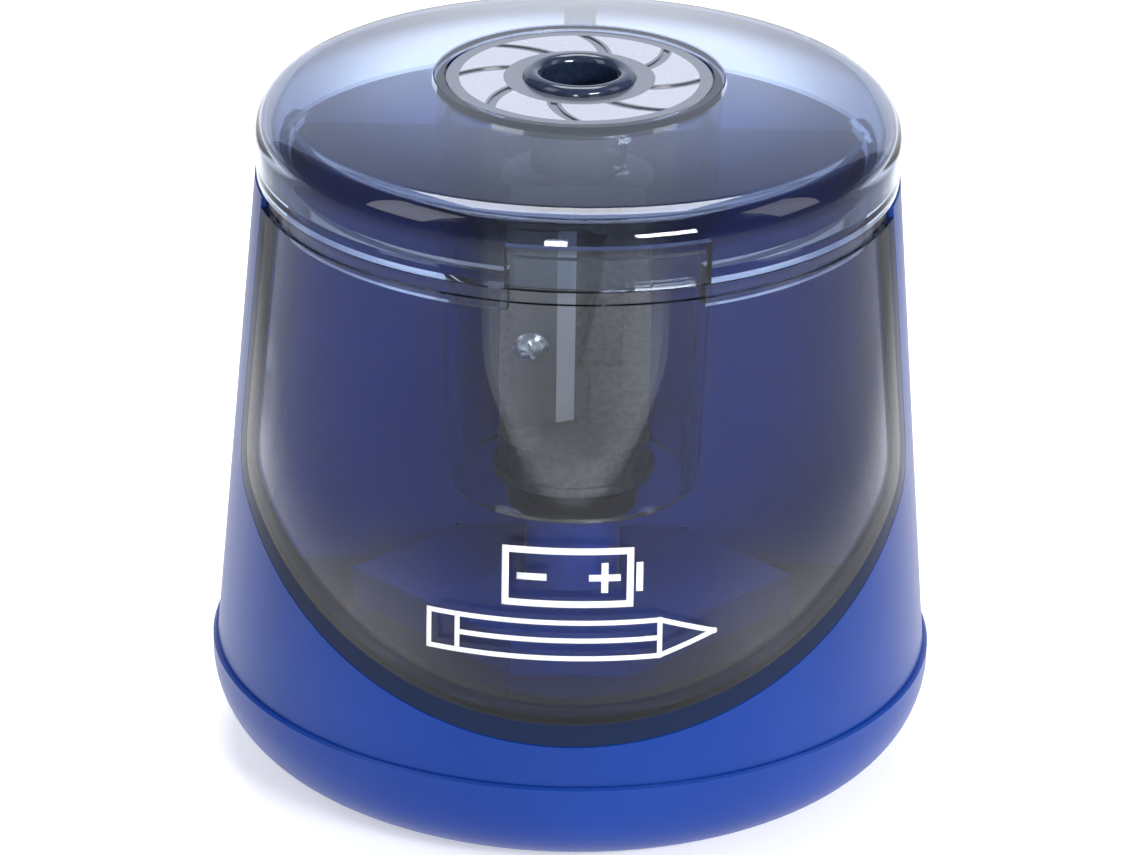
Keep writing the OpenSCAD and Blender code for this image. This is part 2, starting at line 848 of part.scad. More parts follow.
module idler_gear() {
    color([0.85, 0.85, 0.82]) translate([0, idler_y, 0]) {
        difference() {
            union() {
                translate([0, 0, idler_low_z]) gear(pinion_teeth, pinion_add, idler_wheel_z - idler_low_z + eps);
                translate([0, 0, idler_wheel_z]) gear(idler_teeth, wheel_add, idler_wheel_t);
            }
            cylinder_from(0, far, idler_pin_r + run);
        }
    }
}

module output_gear() {
    web_t = 1.4;
    color([0.85, 0.85, 0.82]) {
        difference() {
            union() {
                translate([0, 0, output_z]) gear(output_teeth, wheel_add, output_t);
                cylinder_from(output_z, output_z + output_t + 1, shaft_r + 2);
            }
            difference() {
                cylinder_from(output_z + web_t, far, output_tip_r - 2.4);
                cylinder_from(0, far, shaft_r + 2);
            }
            cylinder_from(0, far, shaft_r + press);
        }
    }
}

module cutter_shaft() {
    color(steel) cylinder_from(cup_bore_z + 0.1, shaft_top, shaft_r);
}

module shaft_bush() {
    color(brass) {
        difference() {
            union() {
                cylinder_from(tower_z - bush_h, tower_z + eps, shaft_r + bush_t);
                cylinder_from(tower_z, tower_z + bush_flange_t, bush_flange_r);
            }
            cylinder_from(0, far, shaft_r + run);
        }
    }
}

module dust_cap() {
    color(dark) {
        difference() {
            cylinder_from(cap_skirt, cap_top, cap_r);
            cylinder_from(0, cap_ceiling, tower_r + slip);
            cylinder_from(0, far, shaft_r + press);
        }
    }
}

module drive_collar() {
    color(dark) {
        difference() {
            union() {
                cylinder_from(cap_top, rotor_z, collar_r);
                cylinder_from(rotor_z - 1, rotor_z, collar_r + 0.8);
            }
            cylinder_from(0, far, shaft_r + press);
        }
    }
}

// ---------- cutter ----------

// Frame of the blade's seat: local -Y is the outward normal, local Z runs up the cone
module on_seat() {
    translate([0, slot_depth - pencil_r, cone_top_z]) rotate([point_angle, 0, 0]) children();
}

module cutter_body() {
    step_z = rotor_z + rotor_plain_h;
    color([0.2, 0.2, 0.2]) {
        difference() {
            union() {
                cylinder_from(rotor_z, rotor_top, rotor_r);
                cylinder_from(rotor_z, rotor_z + rotor_flange_h, rotor_flange_r);
            }
            // Pencil guide and cone
            rotate_extrude($fn = fine) polygon([
                [0, cone_top_z - point_len],
                [tip_r, cone_top_z - point_len],
                [pencil_r, cone_top_z],
                [pencil_r, rotor_top + 1],
                [0, rotor_top + 1]
            ]);
            cylinder_from(0, shaft_top + 0.1, shaft_r + press);
            // Flat on which the blade lies, above the plain foot
            intersection() {
                on_seat() translate([-far / 2, -far, -far / 2]) cube([far, far, far]);
                cylinder_from(step_z, far, far / 2);
            }
            // Chip slot beside the blade's edge
            intersection() {
                on_seat() translate([edge_x, -far / 2, -point_len]) cube([5.2, far / 2 + 1.2, point_len + 1]);
                cylinder_from(step_z + 1, cone_top_z, far / 2);
            }
            on_seat() translate([blade_screw_x, 0, -blade_screw_up]) rotate([-90, 0, 0])
                cylinder(h = 3.2, r = 0.85 + press, $fn = small);
        }
    }
}

module blade() {
    color(steel) on_seat() {
        difference() {
            translate([edge_x - blade_w, -blade_t, blade_over - blade_len]) cube([blade_w, blade_t, blade_len]);
            // Ground bevel down to the edge
            translate([edge_x, -0.12, -far / 2]) rotate(90 - atan(blade_bevel / (blade_t - 0.12)))
                mirror([0, 1, 0]) translate([-far / 2, 0, 0]) cube([far / 2 + eps, far / 2, far]);
            translate([blade_screw_x, 0, -blade_screw_up]) rotate([90, 0, 0])
                cylinder(h = 3, r = 1, center = true, $fn = small);
        }
    }
}

module blade_screw() {
    head_h = 1;
    dome = 2.6;
    color(steel) on_seat() translate([blade_screw_x, -blade_t, -blade_screw_up]) rotate([90, 0, 0]) {
        difference() {
            intersection() {
                cylinder(h = head_h, r = blade_screw_r, $fn = mid);
                translate([0, 0, head_h - dome]) sphere(dome, $fn = mid);
            }
            for (a = [20, 110])
                rotate(a) translate([-1.1, -0.22, head_h - 0.5]) cube([2.2, 0.44, 1]);
        }
        translate([0, 0, -blade_t - 3]) cylinder(h = blade_t + 3 + eps, r = 0.85, $fn = small);
    }
}

// ---------- pencil start switch ----------

module thrust_cup() {
    color([0.9, 0.9, 0.88]) {
        difference() {
            union() {
                cylinder_from(cup_flange_z, cup_flange_z + cup_flange_t, cup_flange_r);
                cylinder_from(stem_z, cup_flange_z + eps, cup_stem_r);
            }
            cylinder_from(cup_bore_z, far, shaft_r + run);
        }
    }
}

module return_spring() {
    color(steel) translate([0, 0, plate_top]) coil(spring_r, spring_wire / 2, 4, bridge_z - plate_top);
}

module contact_bridge() {
    color(brass) {
        difference() {
            translate([-contact_x - contact_w / 2, -contact_w / 2, bridge_z])
                cube([2 * contact_x + contact_w, contact_w, bridge_t]);
            cylinder_from(0, far, cup_stem_r + 0.05);
        }
        difference() {
            cylinder_from(bridge_z, bridge_z + bridge_t, cup_flange_r);
            cylinder_from(0, far, cup_stem_r + 0.05);
        }
    }
}

module start_contacts() {
    turn_y = 7;
    color(brass) for (s = [-1, 1]) mirror([s > 0 ? 0 : 1, 0, 0]) {
        translate([contact_x - contact_w / 2, -contact_w / 2, plate_top])
            cube([contact_w, contact_w, contact_top - plate_top]);
        translate([contact_x - strip_w / 2, 0, plate_top]) cube([strip_w, turn_y + strip_w / 2, strip_t]);
        translate([strip_x - strip_w / 2, turn_y - strip_w / 2, plate_top])
            cube([contact_x - strip_x + strip_w, strip_w, strip_t]);
        translate([strip_x - strip_w / 2, turn_y - strip_w / 2, plate_top])
            cube([strip_w, strip_end_y - turn_y + strip_w / 2, strip_t]);
    }
}

// ---------- motor ----------

// Plan of the motor: a circle with two flats
module motor_plan(inset) {
    intersection() {
        circle(motor_d / 2 - inset, $fn = fine);
        square([motor_w - 2 * inset, motor_d], center = true);
    }
}

module motor_can() {
    color(steel) translate([0, motor_y, 0]) {
        difference() {
            union() {
                translate([0, 0, motor_z]) linear_extrude(motor_len) motor_plan(0);
                cylinder_from(motor_z - motor_boss_h, motor_z + eps, motor_boss_r);
            }
            cylinder_from(0, far, motor_shaft_r + run);
        }
    }
}

module motor_end_cap() {
    color([0.9, 0.9, 0.88]) translate([0, motor_y, 0]) {
        difference() {
            union() {
                translate([0, 0, motor_z + motor_len]) linear_extrude(motor_cap_len - 1.6) motor_plan(0.2);
                cylinder_from(motor_z + motor_len, motor_top, 5);
            }
            cylinder_from(0, motor_top - 1, motor_shaft_r + run);
        }
    }
}

module motor_terminals() {
    color(brass) for (s = [-1, 1])
        translate([s * 6.2 - 0.25, motor_y + 3, motor_z + motor_len + motor_cap_len - 1.6]) cube([0.5, 2.6, 3.4]);
}

module motor_shaft() {
    color(steel) translate([0, motor_y, 0]) cylinder_from(motor_shaft_z, motor_top - 1.1, motor_shaft_r);
}

module motor_pinion() {
    color(brass) translate([0, motor_y, 0]) {
        difference() {
            translate([0, 0, motor_pinion_z]) rotate(180 / pinion_teeth)
                gear(pinion_teeth, pinion_add, idler_wheel_t + 0.7);
            cylinder_from(0, far, motor_shaft_r + press);
        }
    }
}

// ---------- lid safety switch ----------

module safety_pin() {
    color([0.9, 0.9, 0.88]) translate([0, safety_y, 0]) {
        cylinder_from(safety_flange_z, safety_top, safety_pin_r);
        cylinder_from(safety_flange_z, safety_flange_z + safety_flange_t, safety_flange_r);
        cylinder_from(safety_tip, safety_flange_z + eps, safety_stem_r);
    }
}

module safety_spring() {
    z = holder_z + holder_t;
    color(steel) translate([0, safety_y, z]) coil(1.9, 0.2, 5, safety_flange_z - z);
}

module switch_holder() {
    cheek_t = 1;
    color([0.9, 0.9, 0.88]) translate([0, safety_y, 0]) {
        difference() {
            union() {
                translate([-holder_half_x, -holder_half_y, holder_z])
                    cube([2 * holder_half_x, 2 * holder_half_y, holder_t]);
                for (x = [-holder_half_x, holder_half_x - cheek_t])
                    translate([x, -holder_half_y, holder_z]) cube([cheek_t, 2 * holder_half_y, deck_z - holder_z]);
            }
            cylinder_from(0, far, safety_stem_r + 0.1);
        }
    }
}

// Two leaf contacts under the holder, one above the other
module safety_contacts() {
    leaf_t = 0.3;
    leaf_w = 3;
    post = 1.2;
    color(brass) translate([-leaf_w / 2, safety_y, 0]) {
        translate([0, -2, holder_z - 0.9]) cube([leaf_w, 2 + holder_half_y, leaf_t]);
        translate([0, holder_half_y - post, holder_z - 0.9]) cube([leaf_w, post, 0.9]);
        translate([0, -holder_half_y, holder_z - 1.6]) cube([leaf_w, holder_half_y + 1.5, leaf_t]);
        translate([0, -holder_half_y, holder_z - 1.6]) cube([leaf_w, 0.7, 1.6]);
    }
}

// ---------- leads ----------

module lead_start_motor() {
    z = plate_top + strip_t + lead_r;
    color([0.15, 0.15, 0.15]) lead([
        [-strip_x, strip_end_y - 0.8, z],
        [-strip_x, lead_y + lead_r, z],
        [-lead_x, lead_y, z + 4],
        [-lead_x, lead_y, motor_top - 1],
        [-7.4, motor_y + 4.3, motor_top]
    ]);
}

module lead_start_safety() {
    z = plate_top + strip_t + lead_r;
    color([0.6, 0.08, 0.07]) lead([
        [strip_x, strip_end_y - 0.8, z],
        [strip_x, lead_y + lead_r, z],
        [lead_x, lead_y, z + 4],
        [lead_x, lead_y, holder_z - 4],
        [1, safety_y + holder_half_y - 0.6, holder_z - 1.6]
    ]);
}

module lead_safety_cell() {
    color([0.6, 0.08, 0.07]) lead([
        [0, safety_y - holder_half_y - 0.65, holder_z - 1.2],
        [holder_half_x + slip, safety_y - holder_half_y - 2.5, holder_z + 3],
        [cell_x - 8.8, cell_y, tab_z - lead_r]
    ]);
}

module lead_motor_cell() {
    color([0.15, 0.15, 0.15]) lead([
        [5.2, motor_y + 4.3, motor_top + 1.2],
        [3, motor_y - 4, motor_top + 4],
        [8.8 - cell_x, cell_y, tab_z - lead_r]
    ]);
}

// ---------- lid ----------

// Arc of the dome and its shoulder, drawn in by an inset, from the skirt to radius r_end
function dome_line(inset, r_end) = concat(
    arc([shoulder_cr, shoulder_cz], shoulder_r - inset, 0, shoulder_a, 9),
    arc([0, dome_cz], dome_r - inset, shoulder_a, acos(r_end / (dome_r - inset)), 8)
);

module lid_shell() {
    inner_r = rim_r - wall;
    outer = dome_line(0, lid_hole_r);
    inner = dome_line(wall, lid_hole_r);
    post_top = dome_cz + sqrt(pow(dome_r - wall / 2, 2) - safety_y * safety_y);
    color(smoke) {
        difference() {
            union() {
                rotate_extrude($fn = fine) polygon(concat(
                    [[rim_r - 0.15, lid_z]],
                    outer,
                    [for (i = [len(inner) - 1:-1:0]) inner[i]],
                    [[inner_r, lid_z + ledge_h], [spigot_r - spigot_t, lid_z + ledge_h]],
                    [[spigot_r - spigot_t, lid_z - spigot_h], [spigot_r, lid_z - spigot_h], [spigot_r, lid_z]]
                ));
                // Post that holds the safety pin down
                translate([0, safety_y, 0]) cylinder_from(safety_top + slip, post_top, 1.8);
            }
            // The locating ring stops in front of the dividing wall
            difference() {
                translate([-far / 2, divider_y - 2 * slip, 0]) cube([far, far, lid_z + ledge_h + eps]);
                rotate_extrude($fn = fine) translate([inner_r - eps, 0]) square([far, far]);
            }
            // Recess for the window's key tab
            intersection() {
                key_zone(0.4, 0, shoulder_cz);
                rotate_extrude($fn = fine) square([key_r + key_t + slip, far]);
            }
        }
    }
}

// Disc in the lid's hole, with a recess for the badge plate
module lid_insert() {
    color(smoke) {
        difference() {
            cylinder_from_fine(disc_z, insert_z, insert_r);
            cylinder_from_fine(insert_z - badge_t - badge_drop, far, badge_r + 0.24);
            cylinder_from_fine(0, far, pencil_r + sleeve_t + 0.05);
        }
    }
}

// Tube round the cutter; below the rim its back is open, where the dividing wall closes it
module guard_tube() {
    tube_top_r = insert_r - seat;
    tube_h = disc_z - tube_z;
    color(smoke) {
        difference() {
            translate([0, 0, tube_z]) cylinder(h = tube_h, r1 = tube_low_r, r2 = tube_top_r, $fn = fine);
            translate([0, 0, tube_z - eps])
                cylinder(h = tube_h + 2 * eps, r1 = tube_low_r - tube_t, r2 = tube_top_r - tube_t, $fn = fine);
            translate([-far / 2, divider_y - 2 * slip, 0]) cube([far, far, rim_z + slip]);
        }
    }
}

// Plate with a generic swirl of vanes, each a crescent between two circles
module badge_plate() {
    vanes = 8;
    plate_bottom = insert_z - badge_drop - badge_t;
    relief = 0.15;
    color([0.62, 0.64, 0.67]) {
        difference() {
            cylinder_from_fine(plate_bottom, plate_bottom + badge_t, badge_r);
            cylinder_from_fine(0, far, mouth_r + 0.1);
            translate([0, 0, plate_bottom + badge_t - relief]) linear_extrude(1)
                for (i = [0:vanes - 1])
                    rotate(i * 360 / vanes) vane_gap();
        }
    }
}

// Groove between two vanes
module vane_gap() {
    swing = 9.5;
    intersection() {
        difference() {
            circle(13, $fn = fine);
            circle(8.2, $fn = fine);
        }
        translate([swing, 0]) difference() {
            circle(swing + 0.35, $fn = fine);
            circle(swing - 0.35, $fn = fine);
        }
        translate([0, -20]) square([20, 20]);
    }
}

module pencil_bush() {
    color([0.3, 0.32, 0.36]) {
        difference() {
            union() {
                cylinder_from_fine(sleeve_z, insert_z, pencil_r + sleeve_t);
                rotate_extrude($fn = fine) translate([(pencil_r + mouth_r) / 2, insert_z - badge_drop])
                    intersection() {
                        circle((mouth_r - pencil_r) / 2, $fn = mid);
                        translate([-pencil_r, 0]) square(2 * pencil_r);
                    }
            }
            cylinder_from_fine(0, far, pencil_r);
        }
    }
}

base_shell();
rubber_feet();
base_screws();
body_shell();
window();
battery_cover();
cover_feet();
cover_contact();
cover_spring();
cell_left();
cell_right();
cell_contacts();
cell_spring();
gear_housing();
gearbox_plate();
gearbox_screws();
idler_pin();
idler_gear();
output_gear();
cutter_shaft();
shaft_bush();
dust_cap();
drive_collar();
cutter_body();
blade();
blade_screw();
thrust_cup();
return_spring();
contact_bridge();
start_contacts();
motor_can();
motor_end_cap();
motor_terminals();
motor_shaft();
motor_pinion();
safety_pin();
safety_spring();
switch_holder();
safety_contacts();
lead_start_motor();
lead_start_safety();
lead_safety_cell();
lead_motor_cell();
lid_shell();
lid_insert();
guard_tube();
badge_plate();
pencil_bush();
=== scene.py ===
# %% [markdown]
# # Looks for a round battery pencil sharpener
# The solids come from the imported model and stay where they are. This script gives each of
# them a finish, adds the small things that a solid model leaves out, and sets up a small
# studio. Everything is in metres. The sharpener stands on z = 0, its window looks along -Y.

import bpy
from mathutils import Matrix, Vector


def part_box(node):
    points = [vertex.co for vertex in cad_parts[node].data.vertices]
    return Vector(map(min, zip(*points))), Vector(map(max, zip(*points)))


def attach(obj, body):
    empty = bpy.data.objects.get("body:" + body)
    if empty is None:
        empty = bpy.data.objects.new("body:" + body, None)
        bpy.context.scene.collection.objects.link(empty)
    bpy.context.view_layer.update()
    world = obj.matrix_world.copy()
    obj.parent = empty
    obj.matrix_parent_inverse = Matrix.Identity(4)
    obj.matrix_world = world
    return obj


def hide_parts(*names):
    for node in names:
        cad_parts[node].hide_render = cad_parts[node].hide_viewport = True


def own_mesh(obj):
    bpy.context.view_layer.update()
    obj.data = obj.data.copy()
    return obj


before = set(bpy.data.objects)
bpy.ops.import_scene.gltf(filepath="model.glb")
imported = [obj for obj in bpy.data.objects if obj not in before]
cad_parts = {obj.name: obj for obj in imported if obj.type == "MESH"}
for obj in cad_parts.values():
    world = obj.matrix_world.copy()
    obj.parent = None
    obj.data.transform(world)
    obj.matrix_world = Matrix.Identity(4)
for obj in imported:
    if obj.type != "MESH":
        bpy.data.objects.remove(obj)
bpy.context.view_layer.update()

# %% The other modules, and a millimetre
import math

import bmesh
import bpy
from mathutils import Matrix, Vector

MM = 0.001
print("Blender", bpy.app.version_string)

# %% [markdown]
# ## The camera
# A long lens a good half metre away keeps the sides of a round object nearly parallel. The
# camera could be aimed with a Track To constraint, but a tilt and a small roll written down
# as two angles are easier to read and to repeat.

# %% Camera
FOCAL, SENSOR = 181.85, 36
CAMERA_AT = (-0.41, -582.5, 296.3)
LOOK_DOWN, ROLL = 24.05, 0.93
camera_data = bpy.data.cameras.new("camera")
camera_data.lens = FOCAL
camera_data.sensor_width = SENSOR
camera = bpy.data.objects.new("camera", camera_data)
bpy.context.scene.collection.objects.link(camera)
tilt = Matrix.Rotation(math.radians(90 - LOOK_DOWN), 4, "X")
roll = Matrix.Rotation(math.radians(ROLL), 4, "Z")
camera.matrix_world = Matrix.Translation([v * MM for v in CAMERA_AT]) @ tilt @ roll
bpy.context.scene.camera = camera
print("camera at", tuple(round(v, 4) for v in camera.location))

# %% [markdown]
# ## Helpers for node materials
# Each finish is a node tree, so it has no size in pixels and needs no image. A short helper
# starts the tree and hands back its main shader; another adds a node and fills in its
# sockets. Patterns read Object coordinates: every piece has its origin at the world's, so
# one pattern runs on from piece to piece without a seam.

# %% Start a material
def new_material(name):
    material = bpy.data.materials.new(name)
    material.use_nodes = True
    shader = material.node_tree.nodes["Principled BSDF"]
    return material, shader


def add_node(material, kind, **sockets):
    node = material.node_tree.nodes.new(kind)
    for key, value in sockets.items():
        node.inputs[key.replace("_", " ")].default_value = value
    return node


def join(material, output, socket):
    material.node_tree.links.new(output, socket)


# %% Set the plain numbers of a shader
def set_shader(shader, **values):
    names = {
        "metal": "Metallic",
        "rough": "Roughness",
        "ior": "IOR",
        "clear": "Transmission Weight",
        "coat": "Coat Weight",
        "coat_rough": "Coat Roughness",
        "specular": "Specular IOR Level",
    }
    for key, value in values.items():
        shader.inputs[names[key]].default_value = value


# %% A noise pattern on Object coordinates
def noise(material, scale, detail=3.0, stretch=(1, 1, 1)):
    place = add_node(material, "ShaderNodeTexCoord")
    mapping = add_node(material, "ShaderNodeMapping")
    mapping.inputs["Scale"].default_value = stretch
    texture = add_node(material, "ShaderNodeTexNoise", Scale=scale, Detail=detail)
    join(material, place.outputs["Object"], mapping.inputs["Vector"])
    join(material, mapping.outputs["Vector"], texture.inputs["Vector"])
    return texture


# %% Let a pattern vary a colour, a roughness or the bump
def vary_color(material, shader, source, dark, light):
    ramp = add_node(material, "ShaderNodeValToRGB")
    ramp.color_ramp.elements[0].position = 0.35
    ramp.color_ramp.elements[1].position = 0.65
    ramp.color_ramp.elements[0].color = (*dark, 1)
    ramp.color_ramp.elements[1].color = (*light, 1)
    join(material, source, ramp.inputs["Fac"])
    join(material, ramp.outputs["Color"], shader.inputs["Base Color"])


def vary_rough(material, shader, source, low, high):
    span = add_node(material, "ShaderNodeMapRange")
    span.inputs["To Min"].default_value = low
    span.inputs["To Max"].default_value = high
    join(material, source, span.inputs["Value"])
    join(material, span.outputs["Result"], shader.inputs["Roughness"])


def add_bump(material, shader, source, strength, depth_mm):
    bump = add_node(material, "ShaderNodeBump", Strength=strength, Distance=depth_mm * MM)
    join(material, source, bump.inputs["Height"])
    join(material, bump.outputs["Normal"], shader.inputs["Normal"])


# %% Maths for patterns
def maths(material, operation, first, second=None):
    node = add_node(material, "ShaderNodeMath")
    node.operation = operation
    for socket, value in zip(node.inputs, (first, second)):
        if value is None:
            continue
        if hasattr(value, "is_linked"):
            join(material, value, socket)
        else:
            socket.default_value = value
    return node.outputs["Value"]


def between(material, mask, plain, masked):
    rise = maths(material, "MULTIPLY", mask, masked - plain)
    return maths(material, "ADD", rise, plain)


# %% Places on the object, and a soft step between two of them
def place_xyz(material):
    place = add_node(material, "ShaderNodeTexCoord")
    parts = add_node(material, "ShaderNodeSeparateXYZ")
    join(material, place.outputs["Object"], parts.inputs["Vector"])
    return parts.outputs["X"], parts.outputs["Y"], parts.outputs["Z"]


def axis_distance(material, x, y):
    squares = [maths(material, "MULTIPLY", side, side) for side in (x, y)]
    return maths(material, "SQRT", maths(material, "ADD", *squares))


def fade(material, source, none_at, full_at):
    step = add_node(material, "ShaderNodeMapRange")
    step.interpolation_type = "SMOOTHSTEP"
    step.inputs["From Min"].default_value = none_at
    step.inputs["From Max"].default_value = full_at
    join(material, source, step.inputs["Value"])
    return step.outputs["Result"]


# %% Two colours, and a second colour over a shader's own
def two_tone(material, mask, plain, masked):
    mix = add_node(material, "ShaderNodeMix")
    mix.data_type = "RGBA"
    mix.inputs["A"].default_value = (*plain, 1)
    mix.inputs["B"].default_value = (*masked, 1)
    join(material, mask, mix.inputs["Factor"])
    return mix


def mix_over(material, shader, amount, color):
    mix = two_tone(material, amount, color, color)
    join(material, shader.inputs["Base Color"].links[0].from_socket, mix.inputs["A"])
    join(material, mix.outputs["Result"], shader.inputs["Base Color"])


print("material helpers ready")

# %% [markdown]
# ## Blue moulded plastic
# The case is dyed polystyrene with a satin skin. Such a skin is not quite even: it is a
# little glossier where the tool was polished, and it has a very fine grain. Two noises at
# different scales give that, one for the drift of colour and gloss and one for the grain.
# Inside the chamber, light bounces from wall to wall and makes the blue look lighter. More
# bounces would cost render time, so the faces behind the cone's wall get a lighter blue.

# %% Blue plastic
blue, shader = new_material("blue_plastic")
drift = noise(blue, 40, 2)
grain = noise(blue, 2600, 2)
vary_color(blue, shader, drift.outputs["Fac"], (0.003, 0.030, 0.205), (0.005, 0.037, 0.240))
vary_rough(blue, shader, drift.outputs["Fac"], 0.30, 0.38)
add_bump(blue, shader, grain.outputs["Fac"], 0.10, 0.02)
set_shader(shader, specular=0.2)
print("made", blue.name)

# %% The cone of the body and the window, in millimetres
CONE_R, CONE_Z = 39.55, 12.2
CONE_LEAN = 4.5 / 54.7
print("cone leans", round(CONE_LEAN, 4))

# %% A lighter blue inside
INNER_BLUE = (0.010, 0.062, 0.42)
SKIN, CHAMBER_Z = 1.5 * MM, 15.0 * MM


def lighten_inside(material, shader):
    x, y, z = place_xyz(material)
    shrink = maths(material, "MULTIPLY", z, CONE_LEAN)
    outer = maths(material, "SUBTRACT", (CONE_R + CONE_LEAN * CONE_Z) * MM, shrink)
    depth = maths(material, "SUBTRACT", outer, axis_distance(material, x, y))
    behind_wall = maths(material, "GREATER_THAN", depth, SKIN)
    above_base = maths(material, "GREATER_THAN", z, CHAMBER_Z)
    inside = maths(material, "MULTIPLY", behind_wall, above_base)
    mix_over(material, shader, inside, INNER_BLUE)


lighten_inside(blue, shader)
print("inside of", blue.name, "lightened")

# %% [markdown]
# ## Smoky clear plastic
# Lid, window and guard tube are clear plastic, each with a tint of its own. A see-through
# surface could be faked with alpha, but only real transmission bends light in the thick
# edges, and those bright and dark lines are what makes it read as plastic. The tint sits in
# the base colour, so light loses a share at each face that it crosses. A view through the
# dome's rounded shoulder crosses more plastic, which a deeper tint there stands for.

# %% Smoky plastic
def smoky(name, tint, rough):
    material, shader = new_material(name)
    haze = noise(material, 60, 2)
    vary_color(material, shader, haze.outputs["Fac"], [0.97 * c for c in tint], tint)
    vary_rough(material, shader, haze.outputs["Fac"], rough, rough + 0.008)
    set_shader(shader, clear=1.0, ior=1.49)
    return material


smoke_lid = smoky("smoke_lid", (0.68, 0.75, 0.87), 0.0)
smoke_window = smoky("smoke_window", (0.80, 0.83, 0.90), 0.0)
smoke_tube = smoky("smoke_tube", (0.88, 0.90, 0.92), 0.01)
print("made", smoke_lid.name, smoke_window.name, smoke_tube.name)


# %% A deeper tint towards the lid's shoulder
DEEP_TINT = (0.20, 0.24, 0.36)
PALE_R, DEEP_R = 18 * MM, 31 * MM
SKIRT_END_Z, DOME_Z = 70.5 * MM, 72.5 * MM


def deepen_shoulder(material, shader):
    x, y, z = place_xyz(material)
    outwards = fade(material, axis_distance(material, x, y), PALE_R, DEEP_R)
    on_dome = fade(material, z, SKIRT_END_Z, DOME_Z)
    amount = maths(material, "MULTIPLY", outwards, on_dome)
    mix_over(material, shader, amount, DEEP_TINT)


deepen_shoulder(smoke_lid, smoke_lid.node_tree.nodes["Principled BSDF"])
print("shoulder of", smoke_lid.name, "deepened")

# %% [markdown]
# ## The window's rim
# Where the rim lies in the body's rebate, the clear plastic shows the dark shelf behind it.
# The shelf lies in shadow, and the band carries a painted shade that makes it darker than
# the shelf alone. Seen from the side, the rim follows an upright and a sloping line with a
# rounded corner, and a smooth minimum of the two distances gives just that, which is simpler
# than unwrapping the window. The band turns opaque as well, because the step in the rim
# would gather light into bright lines. It gets dark before it gets opaque: a pale opaque
# plastic would show as a grey halo.

# %% Places of the rim, seen from the side
SLOPE = math.radians(32.5)
SIDE_EDGE_Y = -9.15 * MM
SLOPE_Y, SLOPE_Z = -9.0 * MM, 35.8 * MM
CORNER = 5.0 * MM
CLEAR_IN, DARK_IN = 3.1 * MM, 2.5 * MM
GLASSY_IN, OPAQUE_IN = 2.3 * MM, 2.0 * MM
# Near-black blue of the painted shade on the rim band
RIM_SHADE_COLOR = (0.010, 0.018, 0.05)
print("rim slopes", round(math.degrees(SLOPE), 1), "degrees")


# %% Darken the rim
def rim_distance(material):
    y, z = place_xyz(material)[1:]
    from_side = maths(material, "SUBTRACT", SIDE_EDGE_Y, y)
    drop = maths(material, "MULTIPLY", maths(material, "SUBTRACT", y, SLOPE_Y), -math.sin(SLOPE))
    lift = maths(material, "MULTIPLY", maths(material, "SUBTRACT", z, SLOPE_Z), math.cos(SLOPE))
    from_slope = maths(material, "ADD", lift, drop)
    inward = maths(material, "SMOOTH_MIN", from_side, from_slope)
    inward.node.inputs[2].default_value = CORNER
    return inward


def darken_rim(material, shader):
    inward = rim_distance(material)
    # Painted shade: the rim band is mixed towards a near-black blue
    mix_over(material, shader, fade(material, inward, CLEAR_IN, DARK_IN), RIM_SHADE_COLOR)
    opaque = fade(material, inward, GLASSY_IN, OPAQUE_IN)
    join(material, between(material, opaque, 1.0, 0.0), shader.inputs["Transmission Weight"])
    join(material, between(material, opaque, 0.5, 0.08), shader.inputs["Specular IOR Level"])


darken_rim(smoke_window, smoke_window.node_tree.nodes["Principled BSDF"])
print("rim of", smoke_window.name, "darkened")

# %% [markdown]
# ## Metals
# Steel and brass differ mostly in colour; what tells a turned shaft from a stamped strip is
# the direction of the fine scratches. Stretching the noise along one axis gives that
# direction without any drawn lines.

# %% Metal
def metal(name, dark, light, rough, stretch=(1, 1, 6), scale=900):
    material, shader = new_material(name)
    scratches = noise(material, scale, 4, stretch)
    vary_color(material, shader, scratches.outputs["Fac"], dark, light)
    vary_rough(material, shader, scratches.outputs["Fac"], rough, rough + 0.12)
    add_bump(material, shader, scratches.outputs["Fac"], 0.15, 0.01)
    set_shader(shader, metal=1.0)
    return material


turned_steel = metal("turned_steel", (0.46, 0.47, 0.48), (0.62, 0.63, 0.64), 0.22)
bright_steel = metal("bright_steel", (0.70, 0.76, 0.76), (0.84, 0.90, 0.90), 0.20, (1, 6, 1))
cast_metal = metal("cast_metal", (0.22, 0.215, 0.20), (0.32, 0.31, 0.29), 0.44, (1, 1, 1), 1500)
plated_strip = metal("plated_strip", (0.52, 0.52, 0.50), (0.68, 0.68, 0.66), 0.25, (6, 1, 1))
brass = metal("brass", (0.60, 0.42, 0.16), (0.74, 0.55, 0.24), 0.25)
print("made the metals")

# %% [markdown]
# ## Plain plastics and rubber
# Small inner parts are moulded in white or black, and the wires are red or black. They
# share one recipe: a base colour that drifts a little, and a bump that is finer on hard
# plastic than on rubber.

# %% Moulded parts
def moulded(name, dark, light, rough, grain_scale=1800, strength=0.12):
    material, shader = new_material(name)
    speckle = noise(material, grain_scale, 3)
    vary_color(material, shader, speckle.outputs["Fac"], dark, light)
    vary_rough(material, shader, speckle.outputs["Fac"], rough, rough + 0.10)
    add_bump(material, shader, speckle.outputs["Fac"], strength, 0.02)
    return material


white_plastic = moulded("white_plastic", (0.68, 0.67, 0.62), (0.76, 0.75, 0.70), 0.38)
black_plastic = moulded("black_plastic", (0.012, 0.012, 0.013), (0.020, 0.020, 0.022), 0.35)
rubber = moulded("rubber", (0.010, 0.010, 0.010), (0.022, 0.022, 0.022), 0.62, 1200, 0.4)
print("made the moulded finishes")

# %% Lead insulation
red_lead = moulded("red_insulation", (0.42, 0.015, 0.012), (0.52, 0.03, 0.02), 0.35)
black_lead = moulded("black_insulation", (0.012, 0.012, 0.012), (0.02, 0.02, 0.02), 0.35)
print("made", red_lead.name, black_lead.name)

